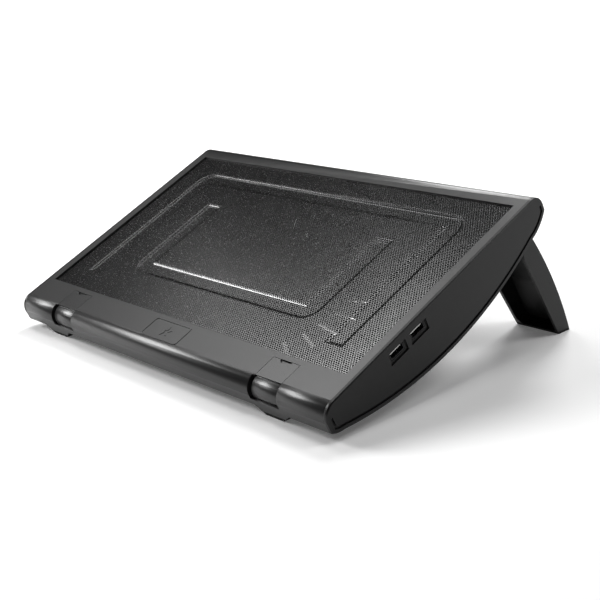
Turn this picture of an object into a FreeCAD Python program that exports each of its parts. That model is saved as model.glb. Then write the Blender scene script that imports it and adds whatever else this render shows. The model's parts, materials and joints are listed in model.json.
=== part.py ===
"""Laptop cooling pad: a mesh-topped pad with one large fan, flip-up stops and fold-out rear legs.

Every piece is drawn in the deck frame, millimetres: X across the pad, Y from the front edge to
the rear, Z up from the deck, whose top is Z = 0.  At the end the whole pad is tilted back onto its
opened legs and set on the ground, with the origin under the middle of it.
"""
import FreeCAD, Part
import math
import os
import Sketcher
from FreeCAD import Placement, Rotation, Vector

X_AXIS = Vector(1, 0, 0)
Y_AXIS = Vector(0, 1, 0)
Z_AXIS = Vector(0, 0, 1)
BIG = 1000.0

# ---------------------------------------------------------------- driving dimensions
SIZES = {
    # body section
    "body_width": 380, "body_depth": 240, "wall": 2.5, "tilt_angle": 23.2,
    "roll_radius": 11, "front_face_drop": 19, "belly_front_run": 10, "belly_front_drop": 23.8,
    "belly_drop": 43.8, "belly_rear_run": 21, "belly_rear_drop": 27, "rear_face_drop": 15,
    "rear_top_radius": 10, "front_bulge": 0.8, "rear_bulge": 2, "parting_drop": 12.5,
    # deck opening and mesh
    "opening_front": 34, "opening_rear_margin": 18.5, "opening_side_margin": 10, "mesh_sink": 1.5,
    "mesh_sheet": 0.8, "mesh_flange": 4.5, "seat_clearance": 0.3,
    "ridge_sink": 1.2, "ridge_flank": 0.8, "ridge_arm_width": 18, "ridge_bar_width": 15.5,
    "outer_arm_margin": 24, "outer_bar_margin": 18.5, "outer_arm_end": 21, "outer_corner": 16,
    "inner_arm_margin": 69.5, "inner_bar_margin": 34.5, "inner_arm_end": 57.5, "inner_corner": 14,
    # end caps
    "cap_plate": 3, "cap_skirt": 3, "cap_skirt_wall": 2, "cap_fit": 0.3, "cap_edge": 0.8,
    "groove_margin": 3, "groove_width": 2.2, "groove_deep": 1.3, "groove_top_drop": 9,
    # flip-up stops
    "catch_centre": 127.5, "catch_width": 26.5, "catch_rear": 29, "catch_front": 10.5,
    "catch_plate": 2.9, "catch_barrel": 9.6, "catch_gap": 0.35, "catch_relief": 3, "catch_pin": 1.5,
    "pin_clearance": 0.05, "rib_wall": 3, "rib_rear": 19, "rib_drop": 16, "catch_floor": 1.8,
    "stop_slot": 1.5, "scoop_radius": 7, "scoop_deep": 1.2,
    # badge
    "badge_width": 43, "badge_deep": 18, "badge_corner": 2.5, "badge_plate": 0.8, "badge_sink": 0.6,
    "badge_centre": 20,
    # rear legs
    "leg_outer_margin": 9, "leg_top_width": 48, "leg_tip_width": 40, "leg_tip_corner": 5,
    "leg_hinge_run": 19, "leg_barrel": 4.2, "leg_swing": 86.3, "leg_root_deep": 9,
    "leg_root_run": 20, "leg_tip_deep": 6.4, "leg_wall": 2.2, "leg_pin": 1.75, "leg_gap": 0.5,
    "leg_pad_thick": 2, "well_wall": 2, "well_gap": 1.2, "leg_tip_gap": 4,
    # front feet
    "foot_left": 146, "foot_right": 129, "foot_front": 0.6, "foot_run": 14,
    "foot_contact_drop": 26.8, "foot_root_width": 38,
    "foot_root_run": 17, "foot_tip_width": 18, "foot_pad_thick": 2.5,
    # fan
    "fan_centre": 116, "fan_ring": 98, "fan_ring_wall": 4, "fan_top_drop": 4, "fan_deep": 18.5,
    "fan_lug_pitch": 76, "fan_lug_radius": 6, "fan_lug_thick": 3, "strut_width": 5,
    "strut_thick": 2.5, "cup_radius": 26, "tube_radius": 5, "tube_bore": 3.3, "tube_top_drop": 10,
    "blade_count": 13, "blade_tip": 91.5, "blade_root": 29, "blade_top_drop": 6.5,
    "blade_deep": 11.5, "blade_thick": 1.6, "blade_sweep": 24, "hub_radius": 30, "hub_wall": 2,
    "hub_top_drop": 5.5, "hub_deep": 13, "hub_boss": 4, "hub_boss_deep": 3,
    "shaft_radius": 1.5, "shaft_long": 13,
    "bearing_long": 9, "magnet_wall": 2.2, "magnet_deep": 8, "stator_radius": 23.5,
"stator_deep": 6, "stator_arm": 9, "coil_radius": 16.5, "coil_inset": 1,
    "board_radius": 21, "board_thick": 1.2,
    # intake slots in the belly
    "slot_count": 30, "slot_width": 3.4, "slot_inner": 52, "slot_outer": 96,
    # twin socket board
    "port_drop": 9.4, "port_front": 71.6, "port_pitch": 22, "port_width": 13.1,
    "port_height": 5.7, "port_sheet": 0.3, "port_long": 14, "port_sink": 1.4, "port_window": 0.6,
    "port_frame": 2, "tongue_width": 11.1, "tongue_thick": 1.9, "tongue_long": 12,
    "contact_width": 1, "contact_pitch": 2.3, "contact_thick": 0.2, "pcb_thick": 1.6,
    "pcb_long": 27, "pcb_wide": 46, "pcb_screw_inset": 4,
    # screws and posts
    "screw_radius": 1.2, "screw_head": 2.7, "screw_head_thick": 1.7, "post_radius": 3.5,
    "case_screw_seat": 17, "case_screw_long": 12, "front_post": 22.5, "rear_post_margin": 10,
    "post_inner": 62, "front_post_outer": 165, "rear_post_outer": 112, "post_fit": 0.2,
    "small_screw_long": 6,
    # fan lead
    "lead_radius": 1.1, "lead_drop": 6, "lead_side_gap": 8,
}

doc = FreeCAD.newDocument("cooling_pad")
sheet = doc.addObject("Spreadsheet::Sheet", "Sizes")
for row, (alias, value) in enumerate(SIZES.items(), start=1):
    sheet.set(f"A{row}", alias)
    sheet.set(f"B{row}", str(value))
    sheet.setAlias(f"B{row}", alias)
doc.recompute()


class SheetReader:
    """Reads a driving dimension from the spreadsheet by its alias."""

    def __getattr__(self, alias):
        return float(sheet.get(alias))


S = SheetReader()
SUBPARTS = []


# ---------------------------------------------------------------- helpers
def register(item, offset=None, turn=None):
    """Note a sub-part, and where it sits and how it is turned in the deck frame."""
    item.Label = item.Name
    SUBPARTS.append((item, Placement(offset or Vector(), turn or Rotation())))
    return item


def feature(name, shape):
    """Add a sub-part whose shape is worked out in the deck frame."""
    item = doc.addObject("Part::Feature", name)
    item.Shape = shape
    return register(item)


def block(x_span, y_span, z_span):
    """Box between pairs of coordinates."""
    corner = Vector(min(x_span), min(y_span), min(z_span))
    dims = [abs(span[1] - span[0]) for span in (x_span, y_span, z_span)]
    return Part.makeBox(*dims, corner)


def rod(radius, start, direction, length):
    """Round bar."""
    return Part.makeCylinder(radius, length, start, direction)


def side_prism(points, x_span):
    """Prism across X of a closed outline given by its (Y, Z) corners."""
    corners = [Vector(x_span[0], y, z) for y, z in points]
    face = Part.Face(Part.makePolygon(corners + corners[:1]))
    return face.extrude(Vector(x_span[1] - x_span[0], 0, 0))


def mirrored(shape):
    """The same shape on the other side of the pad."""
    return shape.mirror(Vector(), X_AXIS)


def arc_through(start, middle, end):
    """Arc edge through three points."""
    return Part.Arc(start, middle, end).toShape()


def bulged_middle(start, end, bulge):
    """Point beside the middle of a chord, to the right of its direction."""
    along = (end - start).normalize()
    return (start + end) * 0.5 + Vector(0, along.z, -along.y) * bulge


# ---------------------------------------------------------------- body section
def outline(inset=0.0):
    """D-shaped section of the body in the YZ plane, shrunk by inset."""
    deep = S.body_depth
    roll = S.roll_radius
    rear = S.rear_top_radius
    slant = math.sqrt(0.5)
    deck_front = Vector(0, roll, 0)
    deck_rear = Vector(0, deep - rear, 0)
    rear_high = Vector(0, deep, -rear)
    rear_low = Vector(0, deep, -S.rear_face_drop)
    belly_rear = Vector(0, deep - S.belly_rear_run, -S.belly_rear_drop)
    belly_front = Vector(0, S.belly_front_run, -S.belly_front_drop)
    belly_middle = Vector(0, (belly_rear.y + belly_front.y) / 2, -S.belly_drop)
    front_low = Vector(0, 0, -S.front_face_drop)
    front_high = Vector(0, 0, -roll)
    edges = [
        Part.makeLine(deck_front, deck_rear),
        arc_through(deck_rear, deck_rear + Vector(0, rear * slant, rear * (slant - 1)), rear_high),
        Part.makeLine(rear_high, rear_low),
        arc_through(rear_low, bulged_middle(belly_rear, rear_low, S.rear_bulge), belly_rear),
        arc_through(belly_rear, belly_middle, belly_front),
        arc_through(belly_front, bulged_middle(front_low, belly_front, S.front_bulge), front_low),
        Part.makeLine(front_low, front_high),
        arc_through(front_high, deck_front + Vector(0, -roll * slant, -roll * (1 - slant)), deck_front),
    ]
    wire = Part.Wire(edges)
    if inset:
        wire = wire.makeOffset2D(-inset)
    return wire


def section_prism(inset, x_span):
    """Body section run across the pad between two X values."""
    face = Part.Face(outline(inset))
    face.translate(Vector(x_span[0], 0, 0))
    return face.extrude(Vector(x_span[1] - x_span[0], 0, 0))


def half_span():
    """Distance from the middle to the inner face of an end cap."""
    return S.body_width / 2 - S.cap_plate


def shell_skin():
    """Open-ended skin of the whole body between the end caps."""
    half = half_span()
    return section_prism(0, (-half, half)).cut(section_prism(S.wall, (-half, half)))


def opening_spans(grow=0.0):
    """X and Y limits of the deck opening, grown all round."""
    side = S.body_width / 2 - S.opening_side_margin + grow
    return (-side, side), (S.opening_front - grow, S.body_depth - S.opening_rear_margin + grow)


def case_posts():
    """(X, Y) of the screws that join the two halves of the case."""
    rear = S.body_depth - S.rear_post_margin
    right = [(S.post_inner, S.front_post), (S.front_post_outer, S.front_post),
             (S.post_inner, rear), (S.rear_post_outer, rear)]
    return right + [(-x, y) for x, y in right]


# ---------------------------------------------------------------- flip-up stops
def catch_axis():
    """A point on the hinge line of the flip-up stops."""
    return Vector(0, S.roll_radius, -S.roll_radius)


def catch_span(side, grow_left=0.0, grow_right=0.0):
    """X limits of a stop on one side of the pad."""
    middle = side * S.catch_centre
    return middle - S.catch_width / 2 - grow_left, middle + S.catch_width / 2 + grow_right


def catch_notch(side):
    """Room cut in the deck and the front roll for a stop."""
    deck_top = 1.0
    roll_part = block(catch_span(side, S.catch_relief, S.catch_gap),
                      (-1, S.catch_front - S.catch_gap), (-S.parting_drop, deck_top))
    flap_part = block(catch_span(side, S.catch_gap, S.catch_gap),
                      (0, S.catch_rear + S.catch_gap), (-S.catch_plate - S.catch_gap, deck_top))
    barrel_part = block(catch_span(side, S.catch_gap, S.catch_gap),
                        (0, catch_axis().y + S.catch_barrel + S.catch_gap), (-S.parting_drop, deck_top))
    return roll_part.fuse([flap_part, barrel_part])


def catch_support(side):
    """Two ribs that hold a stop's pin, and the floor under its plate."""
    left, right = catch_span(side, S.catch_relief, S.catch_gap)
    ribs = []
    for x_span in ((left - S.rib_wall, left), (right, right + S.rib_wall)):
        upper = section_prism(S.wall / 2, x_span)
        upper = upper.common(block(x_span, (0, S.rib_rear), (-S.parting_drop, 0)))
        lower = block(x_span, (S.wall + S.seat_clearance, S.rib_rear), (-S.rib_drop, -S.parting_drop))
        ribs.append(upper.fuse(lower))
    floor_top = -S.catch_plate - S.catch_gap
    floor = block((left - S.rib_wall, right + S.rib_wall),
                  (S.rib_rear, S.catch_rear + S.rib_wall), (floor_top - S.catch_floor, -S.wall / 2))
    return ribs + [floor]


def catch_shape(side):
    """Stop: a barrel in the front roll with a thin plate lying in the deck."""
    x_span = catch_span(side)
    axis = catch_axis()
    start = Vector(x_span[0], axis.y, axis.z)
    barrel = rod(S.catch_barrel, start, X_AXIS, S.catch_width)
    plate = block(x_span, (S.catch_front, S.catch_rear), (-S.catch_plate, 0))
    web = block(x_span, (S.catch_front, axis.y + S.catch_barrel / 2), (axis.z, -S.catch_plate))
    body = plate.fuse([barrel, web]).removeSplitter()
    bore = rod(S.catch_pin + S.pin_clearance, start, X_AXIS, S.catch_width)
    middle = side * S.catch_centre
    scoop = rod(S.scoop_radius, Vector(middle, S.catch_rear + S.scoop_radius / 2, -S.scoop_deep),
                Z_AXIS, S.catch_plate)
    return body.cut([bore, scoop])


def build_catches():
    """Both stops and their pins."""
    for name, side in (("left", -1), ("right", 1)):
        feature(f"catch_{name}", catch_shape(side))
        pin = doc.addObject("Part::Cylinder", f"catch_pin_{name}")
        pin.setExpression("Radius", "Sizes.catch_pin")
        pin.setExpression("Height", "Sizes.catch_width + Sizes.catch_relief + Sizes.catch_gap"
                                    " + 2 * Sizes.rib_wall")
        left, _ = catch_span(side, S.catch_relief + S.rib_wall)
        register(pin, Vector(left, catch_axis().y, catch_axis().z), Rotation(Y_AXIS, 90))


# ---------------------------------------------------------------- top frame
def top_frame_shape():
    """Bezel: deck margins, front roll and rear edge, with a seat for the mesh under the lip."""
    half = half_span()
    frame = shell_skin().common(block((-half, half), (-1, S.body_depth + 1), (-S.parting_drop, 1)))
    extras = [piece for side in (-1, 1) for piece in catch_support(side)]
    for x, y in case_posts():
        extras.append(rod(S.post_radius, Vector(x, y, -S.parting_drop), Z_AXIS, S.parting_drop - S.wall / 2))
    frame = frame.fuse(extras)
    cuts = [catch_notch(-1), catch_notch(1)]
    cuts.append(block(*opening_spans(), (-S.parting_drop, 1)))
    cuts.append(block(*opening_spans(S.mesh_flange + S.seat_clearance), (-S.parting_drop, -S.mesh_sink)))
    cuts.append(rod(S.catch_pin, Vector(-half, catch_axis().y, catch_axis().z), X_AXIS, 2 * half))
    for x, y in case_posts():
        cuts.append(rod(S.screw_radius, Vector(x, y, -S.parting_drop), Z_AXIS,
                        S.parting_drop - S.wall))
    badge_half = S.badge_width / 2 + S.seat_clearance
    badge_span = S.badge_deep / 2 + S.seat_clearance
    cuts.append(block((-badge_half, badge_half),
                      (S.badge_centre - badge_span, S.badge_centre + badge_span), (-S.badge_plate, 1)))
    return frame.cut(cuts).removeSplitter()


def mesh_channel(margins, y_bar, y_end, corner, inset, z_span):
    """Solid along one pressed channel: a bar with an arm at each end, its outer corners rounded."""
    side_margin, bar_margin, end_margin = margins
    lean = 1 if y_bar < y_end else -1
    x_out = opening_spans()[0][1] - side_margin - inset
    y_low = y_bar + lean * (bar_margin + inset)
    y_high = y_end - lean * (end_margin + inset)
    outer = block((-x_out, x_out), (y_low, y_high), z_span)
    uprights = [edge for edge in outer.Edges
                if edge.BoundBox.ZLength > S.mesh_sheet and abs(edge.BoundBox.YMin - y_low) < S.mesh_sheet]
    outer = outer.makeFillet(corner - inset, uprights)
    x_in = x_out - S.ridge_arm_width + 2 * inset
    bar = S.ridge_bar_width - 2 * inset
    inner = block((-x_in, x_in), (y_low + lean * bar, y_high + lean * bar), z_span)
    body = outer.cut(inner)
    rim = [edge for edge in body.Edges if edge.BoundBox.ZMax < min(z_span) + S.mesh_sheet]
    return body.makeChamfer(S.ridge_flank, rim)


def mesh_shape():
    """Pressed steel grille as a plain sheet with its two pressed-in channels."""
    top = -S.mesh_sink
    floor = top - S.ridge_sink
    (_, _), (front, rear) = opening_spans()
    outer_margins = (S.outer_arm_margin, S.outer_bar_margin, S.outer_arm_end)
    inner_margins = (S.inner_arm_margin, S.inner_bar_margin, S.inner_arm_end)
    panel = block(*opening_spans(S.mesh_flange), (top - S.mesh_sheet, top))
    backs = []
    rooms = []
    for margins, y_bar, y_end, corner in ((outer_margins, rear, front, S.outer_corner),
                                          (inner_margins, front, rear, S.inner_corner)):
        backs.append(mesh_channel(margins, y_bar, y_end, corner, 0, (floor - S.mesh_sheet, top)))
        rooms.append(mesh_channel(margins, y_bar, y_end, corner, S.mesh_sheet, (floor, top + S.mesh_sheet)))
    return panel.fuse(backs).cut(rooms).removeSplitter()


# ---------------------------------------------------------------- ground, feet and legs
def ground_prism(lift, deep):
    """Everything from lift above the ground down through deep, in the deck frame."""
    slope = math.tan(math.radians(S.tilt_angle))
    rise = lift / math.cos(math.radians(S.tilt_angle))
    contact = Vector(0, S.foot_front, -S.foot_contact_drop)

    def height(y):
        return contact.z + rise - (y - contact.y) * slope

    corners = [(-BIG, height(-BIG)), (BIG, height(BIG)),
               (BIG, height(BIG) - deep), (-BIG, height(-BIG) - deep)]
    return side_prism(corners, (-BIG, BIG))


def foot_blank(side):
    """Tapered boss of a front foot, run on below the ground."""
    middle = S.foot_right if side > 0 else -S.foot_left
    tall = S.foot_contact_drop + S.foot_run

    def rectangle(width, run, z):
        x_low, x_high = middle - width / 2, middle + width / 2
        corners = [Vector(x_low, S.foot_front, z), Vector(x_high, S.foot_front, z),
                   Vector(x_high, S.foot_front + run, z), Vector(x_low, S.foot_front + run, z)]
        return Part.makePolygon(corners + corners[:1])

    root = rectangle(S.foot_root_width, S.foot_root_run, -S.front_face_drop)
    tip = rectangle(S.foot_tip_width, S.foot_run, -S.foot_contact_drop)
    below = rectangle(S.foot_tip_width, S.foot_run, -tall)
    return Part.makeLoft([root, tip], True, True).fuse(Part.makeLoft([tip, below], True, True))


def foot_boss(side):
    """The moulded part of a front foot, which ends where its rubber starts."""
    return foot_blank(side).cut(ground_prism(S.foot_pad_thick, BIG))


def foot_pad_shape(side):
    """Rubber of a front foot, cut flat to the ground."""
    return foot_blank(side).common(ground_prism(S.foot_pad_thick, S.foot_pad_thick / math.cos(
        math.radians(S.tilt_angle)))).removeSplitter()


def leg_hinge():
    """A point on the hinge line of the rear legs."""
    hinge_y = S.body_depth - S.leg_hinge_run
    probe = Part.makeLine(Vector(0, hinge_y, -S.parting_drop), Vector(0, hinge_y, -BIG))
    foot = Part.Face(outline()).common(probe).BoundBox.ZMin
    lean = math.cos(math.radians(closed_slope()))
    return Vector(0, hinge_y, foot + S.leg_barrel / lean)


def closed_slope():
    """Fall of a folded leg towards the front, in degrees: the belly's chord under the leg."""
    middle_y = (S.body_depth - S.belly_rear_run + S.belly_front_run) / 2
    fall = S.belly_drop - S.belly_rear_drop
    return math.degrees(math.atan2(fall, S.body_depth - S.leg_hinge_run - middle_y))


def closed_axes():
    """Unit vectors along a folded leg and outwards from it, towards the belly."""
    slope = math.radians(closed_slope())
    return Vector(0, -math.cos(slope), -math.sin(slope)), Vector(0, math.sin(slope), -math.cos(slope))


def leg_reach():
    """Length of an opened leg from its hinge line to the ground, along its outer face."""
    hinge = leg_hinge()
    angle = math.radians(S.leg_swing + closed_slope())
    along = Vector(0, -math.cos(angle), -math.sin(angle))
    outward = Vector(0, math.sin(angle), -math.cos(angle))
    start = hinge + outward * S.leg_barrel
    slope = math.tan(math.radians(S.tilt_angle))
    gap = start.z + S.foot_contact_drop + (start.y - S.foot_front) * slope
    return gap / -(along.z + along.y * slope)


def leg_profile(root_deep, tip_deep, start, end):
    """Side outline of a folded leg on its inner side, left open past the belly on the other."""
    hinge = leg_hinge()
    along, outward = closed_axes()
    past = S.belly_drop
    stations = [(start, -S.leg_barrel), (S.leg_root_run, -root_deep), (end, -tip_deep),
                (end, past), (start, past)]
    if start > 0:
        share = (start - S.leg_root_run) / (end - S.leg_root_run)
        stations[0] = (start, -root_deep - (tip_deep - root_deep) * max(share, 0))
        stations[1] = (max(start, S.leg_root_run) + 1, stations[0][1])
    points = [hinge + along * run + outward * deep for run, deep in stations]
    return [(point.y, point.z) for point in points]


def leg_spans(inset=0.0):
    """X limits of a right-hand leg at its root and at its tip."""
    outer = S.body_width / 2 - S.leg_outer_margin
    return (outer - S.leg_top_width + inset, outer - inset), (outer - S.leg_tip_width + inset, outer - inset)


def leg_plan(inset, end):
    """Prism that gives a folded right-hand leg its tapered plan and its cut tip corner."""
    hinge = leg_hinge()
    along, outward = closed_axes()
    (root_in, outer), (tip_in, _) = leg_spans(inset)
    corner = S.leg_tip_corner
    stations = [(root_in, -S.leg_root_run), (outer, -S.leg_root_run), (outer, end + BIG),
                (tip_in + corner, end + BIG), (tip_in + corner, end), (tip_in, end - corner)]
    points = [hinge + along * run - outward * BIG / 2 + Vector(x, 0, 0) for x, run in stations]
    face = Part.Face(Part.makePolygon(points + points[:1]))
    return face.extrude(outward * BIG)


def opened(shape):
    """Swing a folded leg's shape open about its hinge."""
    turned = shape.copy()
    turned.rotate(leg_hinge(), X_AXIS, S.leg_swing)
    return turned


def leg_blank():
    """Opened right-hand leg, filled in and run on below the ground."""
    reach = leg_reach()
    hinge = leg_hinge()
    (root_in, outer), _ = leg_spans()
    profile = leg_profile(S.leg_root_deep, S.leg_tip_deep, 0, reach + S.leg_tip_deep)
    slab = side_prism(profile, (root_in, outer)).common(section_prism(0, (root_in, outer)))
    slab = slab.common(leg_plan(0, reach))
    barrel = rod(S.leg_barrel, Vector(root_in, hinge.y, hinge.z), X_AXIS, outer - root_in)
    return opened(slab.fuse(barrel).removeSplitter())


def leg_hollow():
    """Room inside an opened right-hand leg, open on its front side."""
    reach = leg_reach()
    (root_in, outer), _ = leg_spans(S.leg_wall)
    floor_run = reach - S.leg_pad_thick - S.leg_wall - S.leg_tip_deep / 2
    grown = S.leg_root_deep + S.leg_barrel
    profile = leg_profile(grown, grown, S.leg_barrel + S.leg_wall, floor_run)
    room = side_prism(profile, (root_in, outer)).common(section_prism(S.leg_wall, (root_in, outer)))
    return opened(room.common(leg_plan(S.leg_wall, floor_run)))


def leg_shape():
    """Right-hand leg: a hollow moulding with a hinge barrel, cut off where its rubber starts."""
    hinge = leg_hinge()
    bore = rod(S.leg_pin + S.pin_clearance, Vector(0, hinge.y, hinge.z), X_AXIS, BIG)
    return leg_blank().cut([leg_hollow(), bore, ground_prism(S.leg_pad_thick, BIG)]).removeSplitter()


def leg_pad_shape():
    """Rubber strip under a right-hand leg."""
    thick = S.leg_pad_thick / math.cos(math.radians(S.tilt_angle))
    return leg_blank().common(ground_prism(S.leg_pad_thick, thick)).removeSplitter()


def well_profile():
    """Side outline of the room that a leg folds into."""
    hinge = leg_hinge()
    along, outward = closed_axes()
    gap = S.well_gap
    tip_run = leg_reach() + S.leg_tip_gap + S.leg_tip_deep
    rear = hinge.y + S.leg_barrel + gap
    ceiling = hinge + along * S.leg_root_run - outward * (S.leg_root_deep + gap)
    tip = hinge + along * tip_run - outward * (S.leg_tip_deep + gap)
    roof = max(ceiling.z, hinge.z + S.leg_barrel + gap)
    return [(rear, roof), (ceiling.y, roof), (tip.y, tip.z),
            (tip.y, -2 * S.belly_drop), (rear, -2 * S.belly_drop)]


def well_span(grow=0.0):
    """X limits of the right-hand leg well."""
    (inner, outer), _ = leg_spans()
    return inner - S.leg_gap - grow, outer + S.leg_gap + grow


def well_solids():
    """Right-hand leg well: the walled block to add, and the room to cut from it."""
    corners = [Vector(0, y, z) for y, z in well_profile()]
    wire = Part.makePolygon(corners + corners[:1]).makeOffset2D(S.well_wall, 2)
    x_low, x_high = well_span(S.well_wall)
    face = Part.Face(wire)
    face.translate(Vector(x_low, 0, 0))
    walls = face.extrude(Vector(x_high - x_low, 0, 0)).common(section_prism(0, (x_low, x_high)))
    return walls, side_prism(well_profile(), well_span())


def build_legs():
    """Both legs, their rubber strips and their pins."""
    for name, side in (("left", -1), ("right", 1)):
        leg = leg_shape()
        pad = leg_pad_shape()
        feature(f"leg_{name}", leg if side > 0 else mirrored(leg))
        feature(f"leg_pad_{name}", pad if side > 0 else mirrored(pad))
        pin = doc.addObject("Part::Cylinder", f"leg_pin_{name}")
        pin.setExpression("Radius", "Sizes.leg_pin")
        pin.setExpression("Height", "Sizes.leg_top_width + 2 * Sizes.leg_gap + 2 * Sizes.well_wall")
        low, high = well_span(S.well_wall)
        start = Vector(low if side > 0 else -high, leg_hinge().y, leg_hinge().z)
        register(pin, start, Rotation(Y_AXIS, 90))
        feature(f"foot_pad_{name}", foot_pad_shape(side))


# ---------------------------------------------------------------- base shell
def intake_slots():
    """Ring of radial slots in the belly under the fan."""
    count = int(S.slot_count)
    slots = []
    for index in range(count):
        slot = block((S.slot_inner, S.slot_outer), (-S.slot_width / 2, S.slot_width / 2),
                     (-2 * S.belly_drop, fan_bottom()))
        slot.rotate(Vector(), Z_AXIS, 360 * index / count)
        slot.translate(fan_offset())
        slots.append(slot)
    return Part.makeCompound(slots)


def fan_lug_centres():
    """(X, Y) of the fan's four fixing lugs."""
    pitch = S.fan_lug_pitch
    return [(x, S.fan_centre + y) for x in (-pitch, pitch) for y in (-pitch, pitch)]


def fan_bottom():
    """Z of the fan frame's lower face."""
    return -S.fan_top_drop - S.fan_deep


def pcb_box():
    """X, Y and Z limits of the socket board."""
    outer = half_span() - S.cap_skirt - S.cap_fit
    middle = S.port_front + S.port_pitch / 2
    top = -S.port_drop - S.port_height / 2
    return ((outer - S.pcb_long, outer), (middle - S.pcb_wide / 2, middle + S.pcb_wide / 2),
            (top - S.pcb_thick, top))


def pcb_screw_points():
    """(X, Y) of the two screws that hold the socket board."""
    (low, _), (front, rear), _ = pcb_box()
    inset = S.pcb_screw_inset
    return [(low + inset, front + inset), (low + inset, rear - inset)]


def belly_post(x, y, top, radius):
    """Post from the belly up to a height, trimmed to the body section."""
    post = rod(radius, Vector(x, y, -2 * S.belly_drop), Z_AXIS, top + 2 * S.belly_drop)
    reach = radius + 1
    return post.common(section_prism(0, (x - reach, x + reach)))


def base_shell_shape():
    """Lower half of the case, with the leg wells, feet, posts and intake slots."""
    half = half_span()
    shell = shell_skin().common(block((-half, half), (-1, S.body_depth + 1), (-BIG, -S.parting_drop)))
    walls, room = well_solids()
    walls = walls.common(block((-half, half), (-1, S.body_depth + 1), (-BIG, -S.parting_drop)))
    extras = [walls, mirrored(walls), foot_boss(-1), foot_boss(1)]
    for x, y in case_posts():
        extras.append(belly_post(x, y, -S.parting_drop, S.post_radius))
    for x, y in fan_lug_centres():
        extras.append(belly_post(x, y, fan_bottom(), S.post_radius))
    for x, y in pcb_screw_points():
        extras.append(belly_post(x, y, pcb_box()[2][0], S.post_radius))
    inner = section_prism(S.wall, (-half, half))
    pin = rod(S.leg_pin, Vector(-half, leg_hinge().y, leg_hinge().z), X_AXIS, 2 * half)
    cuts = [room, mirrored(room), pin, intake_slots()]
    for side in (-1, 1):
        x_span = catch_span(side, S.catch_relief, S.catch_gap)
        cuts.append(block(x_span, (-1, S.wall + S.seat_clearance),
                          (-S.parting_drop - S.stop_slot, -S.parting_drop + 1)))
        cuts.append(rod(S.catch_barrel + S.catch_gap, Vector(x_span[0], catch_axis().y, catch_axis().z),
                        X_AXIS, x_span[1] - x_span[0]))
    for x, y in case_posts():
        cuts.append(rod(S.screw_radius + S.post_fit, Vector(x, y, -S.belly_drop), Z_AXIS, S.belly_drop))
        cuts.append(rod(S.screw_head + S.post_fit, Vector(x, y, -2 * S.belly_drop), Z_AXIS,
                        2 * S.belly_drop - S.case_screw_seat))
    for x, y in fan_lug_centres():
        cuts.append(rod(S.screw_radius, Vector(x, y, fan_bottom() - S.small_screw_long), Z_AXIS,
                        S.belly_drop))
    for x, y in pcb_screw_points():
        cuts.append(rod(S.screw_radius, Vector(x, y, pcb_box()[2][0] - S.small_screw_long), Z_AXIS,
                        S.belly_drop))
    feet_room = inner.common(block((-half, half), (0, S.foot_front + S.foot_root_run + 1),
                                   (-S.belly_drop, 0)))
    feet_room = feet_room.common(Part.makeCompound([
        block(catch_span(side, S.catch_relief, S.catch_relief), (0, BIG), (-BIG, 0)) for side in (-1, 1)]))
    return shell.fuse(extras).cut(cuts + [feet_room]).removeSplitter()


# ---------------------------------------------------------------- end caps
def port_centres():
    """Y of the two sockets."""
    return {"front": S.port_front, "rear": S.port_front + S.port_pitch}


def bevel_ring(x_root, x_face):
    """Body section between two X values, narrowing by the same distance."""
    root = outline()
    root.translate(Vector(x_root, 0, 0))
    face = outline(x_face - x_root)
    face.translate(Vector(x_face, 0, 0))
    return Part.makeLoft([root, face], True, True)


def cap_shape(side):
    """D-shaped end plate with a locating skirt and a groove along the belly."""
    inner = half_span()
    outer = S.body_width / 2
    plate = section_prism(0, (inner, outer - S.cap_edge)).fuse(bevel_ring(outer - S.cap_edge, outer))
    fit = S.wall + S.cap_fit
    skirt_span = (inner - S.cap_skirt, inner)
    skirt = section_prism(fit, skirt_span).cut(section_prism(fit + S.cap_skirt_wall, skirt_span))
    groove_span = (outer - S.groove_deep, outer + 1)
    groove = section_prism(S.groove_margin, groove_span).cut(
        section_prism(S.groove_margin + S.groove_width, groove_span))
    groove = groove.common(block(groove_span, (-1, S.body_depth + 1), (-BIG, -S.groove_top_drop)))
    cap = plate.fuse(skirt).cut(groove)
    if side < 0:
        return mirrored(cap)
    reach = S.port_width / 2 + S.port_window
    tall = S.port_height / 2 + S.port_window
    for y in port_centres().values():
        window = block((inner - S.cap_skirt, outer + 1), (y - reach, y + reach),
                       (-S.port_drop - tall, -S.port_drop + tall))
        frame = block((outer - S.groove_deep, outer + 1),
                      (y - reach - S.port_frame, y + reach + S.port_frame),
                      (-S.port_drop - tall - S.port_frame, -S.port_drop + tall))
        cap = cap.cut([window, frame])
    return cap


# ---------------------------------------------------------------- PartDesign helpers
def new_body(name):
    """Empty PartDesign body."""
    return doc.addObject("PartDesign::Body", name)


def sketch_on(body, role, name, height=None):
    """Sketch on one of the body's own origin planes, raised by an expression."""
    sketch = body.newObject("Sketcher::SketchObject", name)
    plane = next(item for item in body.Origin.OriginFeatures if item.Role == role)
    sketch.AttachmentSupport = [(plane, "")]
    sketch.MapMode = "FlatFace"
    if height:
        sketch.setExpression("AttachmentOffset.Base.z", height)
    return sketch


def add_circle(sketch, radius, at=None):
    """Circle with a bound radius, on the sketch's origin or at bound coordinates."""
    start = Vector(1, 1, 0) if at else Vector()
    index = sketch.addGeometry(Part.Circle(start, Z_AXIS, 1), False)
    if at:
        for kind, text in zip(("DistanceX", "DistanceY"), at):
            place = sketch.addConstraint(Sketcher.Constraint(kind, -1, 1, index, 3, 1))
            sketch.setExpression(f"Constraints[{place}]", text)
    else:
        sketch.addConstraint(Sketcher.Constraint("Coincident", index, 3, -1, 1))
    bound = sketch.addConstraint(Sketcher.Constraint("Radius", index, 1))
    sketch.setExpression(f"Constraints[{bound}]", radius)


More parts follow.
